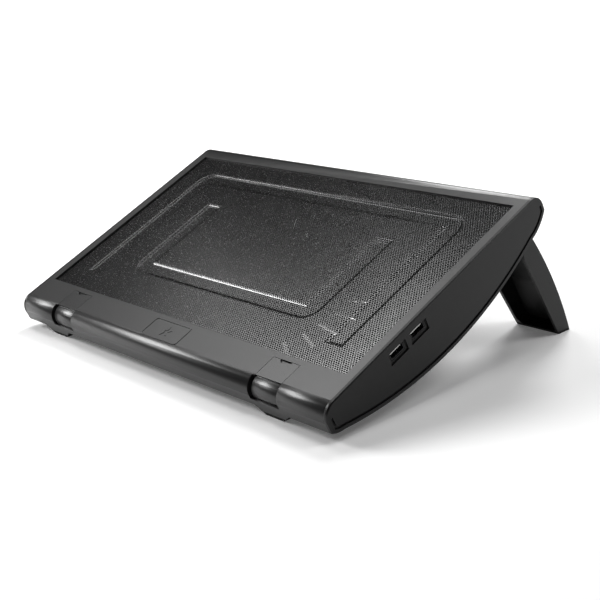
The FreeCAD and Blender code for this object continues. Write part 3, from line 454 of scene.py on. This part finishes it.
@dataclass(frozen=True)
class CastRubber:
    """Moulded rubber: deep matt black with talc-grey specks and almost no shine."""

    name: str
    shade: str
    bloom: str
    roughness: float = 0.82
    pore_mm: float = 0.7
    pore_deep_mm: float = 0.03
    bloom_mm: float = 5.0
    sheen_swing: float = 0.06

    def build(self) -> bpy.types.Material:
        """Make the material: porous, matt and slightly bloomed.

        Returns:
            The material.
        """
        material, tree, where = start_material(self.name)
        pores = add_node(tree, "ShaderNodeTexVoronoi", {"Vector": where, "Scale": 1 / (self.pore_mm * MM)})
        bloom = grain(tree, where, self.bloom_mm, 4.0)
        colour = blend_colours(tree, spread(tree, bloom, 0.0, 1.0, 0.45, 0.8), self.shade, self.bloom)
        bump = add_node(tree, "ShaderNodeBump", {"Height": pores.outputs["Distance"], "Strength": 0.5,
                                                 "Distance": self.pore_deep_mm * MM})
        rough = spread(tree, bloom, self.roughness - self.sheen_swing, self.roughness + self.sheen_swing)
        shader = add_node(tree, "ShaderNodeBsdfPrincipled",
                          {"Base Color": colour, "Roughness": rough, "IOR": 1.52,
                           "Specular IOR Level": 0.3, "Normal": bump.outputs["Normal"]})
        add_node(tree, "ShaderNodeOutputMaterial", {"Surface": shader.outputs["BSDF"]})
        return material


@dataclass(frozen=True)
class Laminate:
    """Glass-epoxy circuit board: green solder mask that shows copper tracks under it."""

    name: str
    mask: str
    track: str
    track_mm: float = 1.6
    track_high_mm: float = 0.03

    def build(self) -> bpy.types.Material:
        """Make the material: lighter squares of track under a glossy mask.

        Returns:
            The material.
        """
        material, tree, where = start_material(self.name)
        cells = add_node(tree, "ShaderNodeTexVoronoi", {"Vector": where, "Scale": 1 / (self.track_mm * MM)},
                         distance="CHEBYCHEV")
        tracks = spread(tree, cells.outputs["Distance"], 0.0, 1.0, 0.30, 0.36)
        colour = blend_colours(tree, tracks, self.track, self.mask)
        bump = add_node(tree, "ShaderNodeBump", {"Height": tracks, "Strength": 0.4,
                                                 "Distance": self.track_high_mm * MM}, invert=True)
        shader = add_node(tree, "ShaderNodeBsdfPrincipled",
                          {"Base Color": colour, "Roughness": spread(tree, tracks, 0.22, 0.3),
                           "IOR": 1.55, "Normal": bump.outputs["Normal"]})
        add_node(tree, "ShaderNodeOutputMaterial", {"Surface": shader.outputs["BSDF"]})
        return material


# Each finish starts from the real material; the comment says what it gives the eye.
# Black ABS, spark-eroded grain: satin skin, soft broad highlights and a painted highlight along its edges.
# Grain drawn 0.55 mm.
CASE_ABS = MouldedPlastic("black_abs_satin", "#121212", "#161616", 0.34, shine=0.6, edge_highlight="#303030")
# The same resin from a finer tool on the flaps, a little shinier, with a painted highlight along its edges.
CATCH_ABS = MouldedPlastic("black_abs_fine", "#131313", "#171717", 0.32, 0.45, 0.005, shine=0.6,
                           edge_highlight="#2c2c2c")
# End caps: a darker, duller copy of the shell ABS as painted shade, with a painted highlight along the edge
# that draws the D.
CAP_ABS = MouldedPlastic("black_abs_dull_painted_shade", "#0b0b0b", "#0e0e0e", 0.36, shine=0.25, edge_highlight="#3a3a3a")
# Glass-filled ABS of the legs: coarser grain, drier, darker as painted shade, with a painted highlight
# along its edges.
LEG_ABS = MouldedPlastic("black_abs_glass_filled_painted_shade", "#0c0c0c", "#101010", 0.42, 0.8, 0.014, shine=0.25,
                         edge_highlight="#262626")
# Badge plate from a smoother tool than the shells: wide, shallow ripples in a clearer shine.
BADGE_ABS = MouldedPlastic("black_abs_gloss", "#131313", "#171717", 0.33, 0.9, 0.003, shine=0.6)
# PBT fan frame: a quiet satin black behind the grille.
FAN_PBT = MouldedPlastic("black_pbt_satin", "#121212", "#161616", 0.38, 0.7, 0.008, 1.55)
# White nylon tongue: the one bright spot in each socket.
SOCKET_NYLON = MouldedPlastic("white_nylon", "#e9e9e6", "#f2f2f0", 0.4, 0.5, 0.01)
# PVC of the fan lead: soft black with a dull shine.
LEAD_PVC = MouldedPlastic("black_pvc", "#0e0e0e", "#141414", 0.45, 0.6, 0.006, 1.54)
# Punched steel under black powder coat: its shine catches on hole rims and pressed flanks.
MESH_COAT = PowderCoat("black_powder_coat_steel", "#111111", "#161616", 0.24, shine=1.0)
# Hinge pins and shaft: bright steel with fine drawn lines.
PIN_STEEL = Metal("turned_steel", "#a8a9ab", "#c2c3c5", 0.28, (4.0, 0.12, 0.12))
# Screws: pale zinc with an even glint.
SCREW_STEEL = Metal("zinc_plated_steel", "#8f9193", "#b4b6b8", 0.34, (0.5, 0.5, 0.5))
# Bearing tube: warm, dull bronze.
BEARING_BRASS = Metal("sintered_bronze", "#9a7440", "#b68b52", 0.42, (0.4, 0.4, 0.4), 0.01)
# Socket shells: dark nickel that mirrors the light along each rim.
SOCKET_NICKEL = Metal("black_nickel_plated_steel", "#3c3c3e", "#505052", 0.26, (3.0, 0.25, 0.25))
# Contacts: small warm glints on the tongue.
CONTACT_GOLD = Metal("gold_plated_bronze", "#c79a4a", "#dcb568", 0.22, (2.0, 0.2, 0.2))
# Stator: red-brown enamelled windings.
STATOR_COPPER = Metal("enamelled_copper_wire", "#7d3d1c", "#b5673a", 0.33, (0.35, 0.35, 6.0), 0.06)
# Ferrite ring magnet: charcoal ceramic, dull and slightly pitted.
FERRITE = CastRubber("ferrite_ceramic", "#232325", "#333336", 0.62, 0.5)
# Soles and feet: black rubber that throws back almost no light.
RUBBER = CastRubber("black_rubber", "#0b0b0b", "#191919")
# Circuit boards: green mask with paler tracks under a gloss.
BOARD_LAMINATE = Laminate("green_glass_epoxy", "#0d3b22", "#2c6a3e")


# ---------------------------------------------------------------- the grille

@dataclass
class Grille:
    """Pressed steel grille: a sheet punched all over, with two pressed-in channels."""

    deck: Deck
    pitch: float = 2.17 * MM
    row: float = 1.64 * MM
    hole_share: float = 0.80
    sheet: float = 0.8 * MM
    flange: float = 4.5 * MM
    channel_deep: float = 1.2 * MM
    flank: float = 3.6 * MM
    arm: float = 18 * MM
    bar: float = 15.5 * MM
    outer_margins: tuple[float, float, float] = (24 * MM, 18.5 * MM, 21 * MM)
    inner_margins: tuple[float, float, float] = (69.5 * MM, 34.5 * MM, 57.5 * MM)
    outer_corner: float = 16 * MM
    inner_corner: float = 14 * MM
    strips: int = 3
    stagger: float = 0.5
    join_step: float = 0.05 * MM
    face: float = field(init=False)
    opening: tuple[Vector, Vector] = field(init=False)

    def inside_channel(self, x: np.ndarray, y: np.ndarray, margins: tuple[float, float, float],
                       corner: float, bar_end: float, lean: int) -> np.ndarray:
        """Measure how far inside one channel each point lies.

        Args:
            x: places across the deck.
            y: places up the deck.
            margins: from the opening's edge to the arms, the bar and the arms' open ends.
            corner: radius of the bar's outer corners.
            bar_end: the opening's edge that the bar lies along.
            lean: 1 where the arms run towards the rear and -1 towards the front.

        Returns:
            Distance inside the channel's outline, negative outside it.
        """
        low, high = self.opening
        far_end = high.y if lean > 0 else low.y
        half = high.x - margins[0]
        run = lean * (y - (bar_end + lean * margins[1]))
        left = lean * ((far_end - lean * margins[2]) - y)
        side = half - np.abs(x)
        in_corner = (side < corner) & (run < corner)
        rounded = corner - np.hypot(corner - side, corner - run)
        outer = np.where(in_corner, rounded, np.minimum(side, run))
        hollow = np.minimum(side - self.arm, run - self.bar)
        return np.minimum(np.minimum(outer, left), -hollow)

    def height(self, x: np.ndarray, y: np.ndarray) -> np.ndarray:
        """Give the sheet's upper face over the deck, channels included.

        Args:
            x: places across the deck.
            y: places up the deck.

        Returns:
            Height of the face at each place.
        """
        low, high = self.opening
        deep = np.maximum(
            self.inside_channel(x, y, self.outer_margins, self.outer_corner, high.y, -1),
            self.inside_channel(x, y, self.inner_margins, self.inner_corner, low.y, 1))
        share = np.clip(deep / self.flank, 0, 1)
        return self.face - self.channel_deep * share * share * (3 - 2 * share)

    def build(self) -> None:
        """Punch the sheet cell by cell: a six-sided cell round a six-sided hole with walls."""
        low, high = self.deck.extent("mesh_panel")
        self.face = high.z
        inset = Vector((self.flange, self.flange, 0))
        self.opening = (low + inset, high - inset)
        finish = MESH_COAT.build()
        columns = int((high.x - low.x) / self.pitch) - 1
        rows = int((high.y - low.y) / self.row) - 1
        numbers = np.stack(np.meshgrid(np.arange(columns), np.arange(rows)), -1).reshape(-1, 2)
        shift = self.stagger * (0.5 - numbers[:, 1] % 2)
        middle = (low + high) / 2
        centre_x = middle.x + (numbers[:, 0] - (columns - 1) / 2 + shift) * self.pitch
        centre_y = middle.y + (numbers[:, 1] - (rows - 1) / 2) * self.row
        side, lean = self.pitch / 2, self.pitch ** 2 / (8 * self.row)
        cell = np.array([(side, lean - self.row / 2), (side, self.row / 2 - lean), (0, self.row / 2 + lean),
                         (-side, self.row / 2 - lean), (-side, lean - self.row / 2),
                         (0, -self.row / 2 - lean)])
        edges = np.linspace(low.x, high.x, self.strips + 1)
        for strip in range(self.strips):
            inside = (centre_x >= edges[strip]) & (centre_x < edges[strip + 1])
            self.punch_strip(strip, centre_x[inside], centre_y[inside], cell, finish)

    def punch_strip(self, strip: int, centre_x: np.ndarray, centre_y: np.ndarray, cell: np.ndarray,
                    finish: bpy.types.Material) -> None:
        """Make one strip of the grille.

        Args:
            strip: the strip's number from the left.
            centre_x: hole centres across.
            centre_y: hole centres up the deck.
            cell: the six corners of a cell about its hole.
            finish: the grille's material.
        """
        count = len(centre_x)
        rim_x = centre_x[:, None] + cell[None, :, 0]
        rim_y = centre_y[:, None] + cell[None, :, 1]
        hole_x = centre_x[:, None] + cell[None, :, 0] * self.hole_share
        hole_y = centre_y[:, None] + cell[None, :, 1] * self.hole_share
        keys = np.round(np.stack([rim_x, rim_y], -1).reshape(-1, 2) / self.join_step).astype(np.int64)
        _, first, joined = np.unique(keys, axis=0, return_index=True, return_inverse=True)
        rim = np.stack([rim_x.ravel()[first], rim_y.ravel()[first],
                        self.height(rim_x.ravel()[first], rim_y.ravel()[first])], -1)
        top = np.stack([hole_x, hole_y, self.height(hole_x, hole_y)], -1).reshape(-1, 3)
        under = top - np.array([0, 0, self.sheet])
        rims = joined.reshape(count, 6)
        tops = len(rim) + np.arange(count * 6).reshape(count, 6)
        unders = tops + count * 6
        turn = np.roll(np.arange(6), -1)
        faces = np.concatenate([
            np.stack([rims, rims[:, turn], tops[:, turn], tops], -1).reshape(-1, 4),
            np.stack([tops, tops[:, turn], unders[:, turn], unders], -1).reshape(-1, 4)])
        piece = mesh_piece(f"grille_strip_{strip + 1}", np.concatenate([rim, top, under]), faces,
                           self.deck, Body.CASE, finish)
        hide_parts("mesh_panel")


# ---------------------------------------------------------------- the case

@dataclass
class Case:
    """Upper frame, base and end caps, which stay as the CAD has them and get their skin."""

    edge_mm: float = 0.4

    def build(self) -> None:
        """Dress the shells with satin ABS and the end caps with a duller, darker copy that paints in shade.
        """
        skin, dull = CASE_ABS.build(), CAP_ABS.build()
        for node in ("top_frame", "base_shell"):
            dress(node, skin, self.edge_mm)
        for node in ("end_cap_left", "end_cap_right"):
            dress(node, dull, self.edge_mm)


@dataclass
class Catches:
    """The two flip-up catches on the front edge."""

    edge_mm: float = 0.6

    def build(self) -> None:
        """Dress the flaps and their pins."""
        skin, steel = CATCH_ABS.build(), PIN_STEEL.build()
        for side in ("left", "right"):
            dress(f"catch_{side}", skin, self.edge_mm)
            dress(f"catch_pin_{side}", steel)


@dataclass
class Legs:
    """The two swing-out rear legs with rubber tips, and the front feet."""

    edge_mm: float = 0.45
    pad_edge_mm: float = 0.4

    def build(self) -> None:
        """Dress the legs, their pins and every rubber pad."""
        skin, rubber, steel = LEG_ABS.build(), RUBBER.build(), PIN_STEEL.build()
        for side in ("left", "right"):
            dress(f"leg_{side}", skin, self.edge_mm)
            dress(f"leg_pad_{side}", rubber, self.pad_edge_mm)
            dress(f"foot_pad_{side}", rubber, self.pad_edge_mm)
            dress(f"leg_pin_{side}", steel)


@dataclass
class Fan:
    """The large fan under the grille."""

    deck: Deck
    frame_edge_mm: float = 0.3
    blade_edge_mm: float = 0.2

    def build(self) -> None:
        """Dress the frame, the rotor and the motor inside its hub."""
        spin = find_joint(FAN_JOINT)
        # Blades: near black with a painted highlight on their upper rims, which reads as a ring of lines
        # behind the grille.
        blades = PaintedGlintBlades("black_pbt_painted_rim_glints", "#161616", "#5c5c5c", tuple(spin["pos_m"]),
                                self.deck.place.to_euler().x)
        dress("fan_frame", FAN_PBT.build(), self.frame_edge_mm)
        dress("fan_impeller", blades.build(), self.blade_edge_mm)
        dress("fan_shaft", PIN_STEEL.build())
        dress("fan_bearing", BEARING_BRASS.build())
        dress("fan_magnet", FERRITE.build())
        dress("fan_board", BOARD_LAMINATE.build())
        dress("fan_stator", STATOR_COPPER.build())
        dress("fan_lead", LEAD_PVC.build())


@dataclass
class Sockets:
    """The two USB sockets in the right end and their board."""

    def build(self) -> None:
        """Dress the shells, tongues, contacts and board."""
        nickel, nylon = SOCKET_NICKEL.build(), SOCKET_NYLON.build()
        for side in ("front", "rear"):
            dress(f"usb_shell_{side}", nickel)
            dress(f"usb_tongue_{side}", nylon)
        dress("usb_contacts", CONTACT_GOLD.build())
        dress("usb_board", BOARD_LAMINATE.build())


@dataclass
class Badge:
    """Small plate let into the front strip, with a plain pinwheel embossed on it."""

    deck: Deck
    petals: int = 5
    petal_long: float = 4.6 * MM
    petal_wide: float = 2.3 * MM
    stand_off: float = 0.9 * MM
    emboss: float = 0.3 * MM
    corner: float = 2.5 * MM
    bead_high: float = 0.35 * MM
    bead_inner: float = 0.15 * MM
    bead_crest: float = 0.25 * MM
    bead_outer: float = 0.65 * MM
    bead_sunk: float = 0.1 * MM
    petal_bend: float = 0.3
    edge_mm: float = 0.15
    outline_steps: int = 10

    def build(self) -> None:
        """Dress the plate and lay the pinwheel on it."""
        finish = BADGE_ABS.build()
        dress("badge", finish, self.edge_mm)
        low, high = self.deck.extent("badge")
        middle = (low + high) / 2
        points, faces = [], []
        for petal in range(self.petals):
            self.add_petal(points, faces, (middle.x, middle.y, high.z), 2 * math.pi * petal / self.petals)
        self.add_bead((low, high), finish)
        mesh_piece("badge_pinwheel", np.array(points), faces, self.deck, Body.CASE, finish)

    def add_bead(self, extent: tuple[Vector, Vector], finish: bpy.types.Material) -> None:
        """Run a fine raised bead round the plate, over the joint between it and the frame.

        Args:
            extent: lowest and highest corners of the plate.
            finish: the bead's material.
        """
        low, high = extent
        rings = ((-self.bead_inner, -self.bead_sunk), (self.bead_crest, self.bead_high),
                 (self.bead_outer, -self.bead_sunk))
        points, count = [], 4 * (self.outline_steps + 1)
        for grow, lift in rings:
            radius = self.corner + grow
            for quarter, (side_x, side_y) in enumerate(((1, 1), (-1, 1), (-1, -1), (1, -1))):
                centre_x = (high.x if side_x > 0 else low.x) - side_x * self.corner
                centre_y = (high.y if side_y > 0 else low.y) - side_y * self.corner
                for step in range(self.outline_steps + 1):
                    angle = (quarter + step / self.outline_steps) * math.pi / 2
                    points.append((centre_x + radius * math.cos(angle), centre_y + radius * math.sin(angle),
                                   high.z + lift))
        faces = []
        for ring in range(len(rings)):
            here, there = ring * count, (ring + 1) % len(rings) * count
            for step in range(count):
                after = (step + 1) % count
                faces.append((here + step, here + after, there + after, there + step))
        mesh_piece("badge_bead", np.array(points), faces, self.deck, Body.CASE, finish)

    def add_petal(self, points: list, faces: list, middle: tuple[float, float, float], turn: float) -> None:
        """Add one leaning petal as a shallow closed solid.

        Args:
            points: corner list that grows.
            faces: face list that grows.
            middle: the pinwheel's middle on the plate's face.
            turn: the petal's angle in radians.
        """
        first, count = len(points), self.outline_steps
        for lift in (-self.emboss, self.emboss):
            for step in range(count):
                angle = 2 * math.pi * step / count
                along = self.stand_off + self.petal_long * (1 + math.cos(angle)) / 2
                bend = self.petal_bend * along ** 2 / self.petal_long
                across = self.petal_wide * math.sin(angle) / 2 + bend
                points.append((middle[0] + along * math.cos(turn) - across * math.sin(turn),
                               middle[1] + along * math.sin(turn) + across * math.cos(turn),
                               middle[2] + lift))
        for step in range(count):
            after = (step + 1) % count
            faces.append((first + step, first + after, first + count + after, first + count + step))
        faces.append(tuple(first + count + step for step in range(count)))
        faces.append(tuple(first + count - 1 - step for step in range(count)))


@dataclass
class Fasteners:
    """All the screws."""

    def build(self) -> None:
        """Dress the screws."""
        steel = SCREW_STEEL.build()
        for node in ("case_screws", "fan_screws", "board_screws"):
            dress(node, steel)


# ---------------------------------------------------------------- the studio

@dataclass(frozen=True)
class SoftBox:
    """A square studio light that faces the object."""

    name: str
    azimuth: float
    elevation: float
    power: float
    distance: float = 1.8
    size: tuple[float, float] = (0.6, 0.6)
    aim: tuple[float, float, float] = (0, 0, 0.06)

    def build(self) -> None:
        """Hang the light where its angles say and turn it to its aim."""
        data = bpy.data.lights.new(self.name, "AREA")
        data.shape = "RECTANGLE"
        data.size, data.size_y = self.size
        data.energy = self.power
        light = bpy.data.objects.new(self.name, data)
        bpy.context.scene.collection.objects.link(light)
        turn, lift = math.radians(self.azimuth), math.radians(self.elevation)
        away = Vector((math.sin(turn) * math.cos(lift), -math.cos(turn) * math.cos(lift), math.sin(lift)))
        light.location = Vector(self.aim) + away * self.distance
        light.rotation_euler = away.to_track_quat("Z", "Y").to_euler()


@dataclass
class Studio:
    """Pale floor with a glow of its own, soft light and the camera."""

    camera_azimuth: float = 49.499
    camera_elevation: float = 17.885
    camera_roll: float = 4.481
    camera_distance: float = 0.95
    camera_aim: tuple[float, float, float] = (0.01708, 0.00158, 0.02785)
    lens_mm: float = 71.626
    clip: tuple[float, float] = (0.05, 100.0)
    floor_half: float = 30.0
    floor_shade: str = "#fcfcfc"
    floor_drift: str = "#ffffff"
    floor_cloud_mm: float = 400.0
    sky: str = "#ffffff"
    sky_strength: float = 0.03
    pad_glow: float = 1.0
    table_glow: float = 0.1
    lit_spot: tuple[float, float, float] = (-0.05, 0.06, 0)
    lit_radii: tuple[float, float] = (0.09, 0.17)
    backdrop_glow: float = 1.0
    backdrop_radii: tuple[float, float] = (0.7, 1.6)

    def build(self) -> None:
        """Set up the floor, the sky, the lights and the camera."""
        self.lay_floor()
        self.fill_sky()
        for light in (
            SoftBox("front_left_box", -60, 28, 19.0),
            SoftBox("top_left_box", -100, 58, 5.0),
            SoftBox("left_box", -90, 46, 3.0),
            SoftBox("rear_left_box", -160, 25, 3.0),
            SoftBox("rear_high_box", -150, 48, 15.0),
            SoftBox("right_box", 130, 48, 6.0),
            SoftBox("overhead_box", 60, 82, 7.0),
        ):
            light.build()
        self.set_camera()

    def lay_floor(self) -> None:
        """Lay a wide pale floor that glows under the pad, to light its slots, and again far out."""
        material, tree, where = start_material("matt_studio_floor")
        cloud = grain(tree, where, self.floor_cloud_mm)
        tone = blend_colours(tree, cloud, self.floor_shade, self.floor_drift)
        far = add_node(tree, "ShaderNodeVectorMath", {0: where}, operation="LENGTH")
        under = add_node(tree, "ShaderNodeVectorMath", {0: where, 1: self.lit_spot}, operation="DISTANCE")
        near = spread(tree, under.outputs["Value"], self.pad_glow, self.table_glow, *self.lit_radii)
        beyond = spread(tree, far.outputs["Value"], 0.0, self.backdrop_glow, *self.backdrop_radii)
        glow = add_node(tree, "ShaderNodeMath", {0: near, 1: beyond}, operation="ADD").outputs["Value"]
        shader = add_node(tree, "ShaderNodeBsdfPrincipled", {"Base Color": tone, "Roughness": 0.9,
                                                             "Specular IOR Level": 0.1,
                                                             "Emission Color": linear(self.sky),
                                                             "Emission Strength": glow})
        add_node(tree, "ShaderNodeOutputMaterial", {"Surface": shader.outputs["BSDF"]})
        data = bpy.data.meshes.new("studio_floor")
        half = self.floor_half
        data.from_pydata([(-half, -half, 0), (half, -half, 0), (half, half, 0), (-half, half, 0)],
                         [], [(0, 1, 2, 3)])
        data.materials.append(material)
        floor = bpy.data.objects.new("studio_floor", data)
        bpy.context.scene.collection.objects.link(floor)

    def fill_sky(self) -> None:
        """Fill the room with even white light."""
        world = bpy.data.worlds.new("studio_sky")
        world.use_nodes = True
        tree = world.node_tree
        tree.nodes.clear()
        glow = add_node(tree, "ShaderNodeBackground", {"Color": linear(self.sky),
                                                       "Strength": self.sky_strength})
        add_node(tree, "ShaderNodeOutputWorld", {"Surface": glow.outputs["Background"]})
        bpy.context.scene.world = world
        bpy.context.scene.view_settings.view_transform = "Standard"

    def set_camera(self) -> None:
        """Stand the camera off the object's right front corner, a little above the deck."""
        turn, lift = math.radians(self.camera_azimuth), math.radians(self.camera_elevation)
        back = Vector((math.sin(turn) * math.cos(lift), -math.cos(turn) * math.cos(lift), math.sin(lift)))
        data = bpy.data.cameras.new("camera")
        data.lens = self.lens_mm
        data.clip_start, data.clip_end = self.clip
        camera = bpy.data.objects.new("camera", data)
        bpy.context.scene.collection.objects.link(camera)
        level = (-back).to_track_quat("-Z", "Y")
        roll = Matrix.Rotation(-math.radians(self.camera_roll), 4, "Z")
        spot = Matrix.Translation(Vector(self.camera_aim) + back * self.camera_distance)
        camera.matrix_world = spot @ level.to_matrix().to_4x4() @ roll
        bpy.context.scene.camera = camera


def main() -> None:
    """Build every sub-assembly in order and report each."""
    logging.basicConfig(level=logging.INFO)
    deck = Deck.from_frame()
    for assembly in (Studio(), Case(), Grille(deck), Catches(), Legs(), Fan(deck), Sockets(), Badge(deck),
                     Fasteners()):
        assembly.build()
        LOG.info("built %s", type(assembly).__name__)


if __name__ == "__main__":
    main()
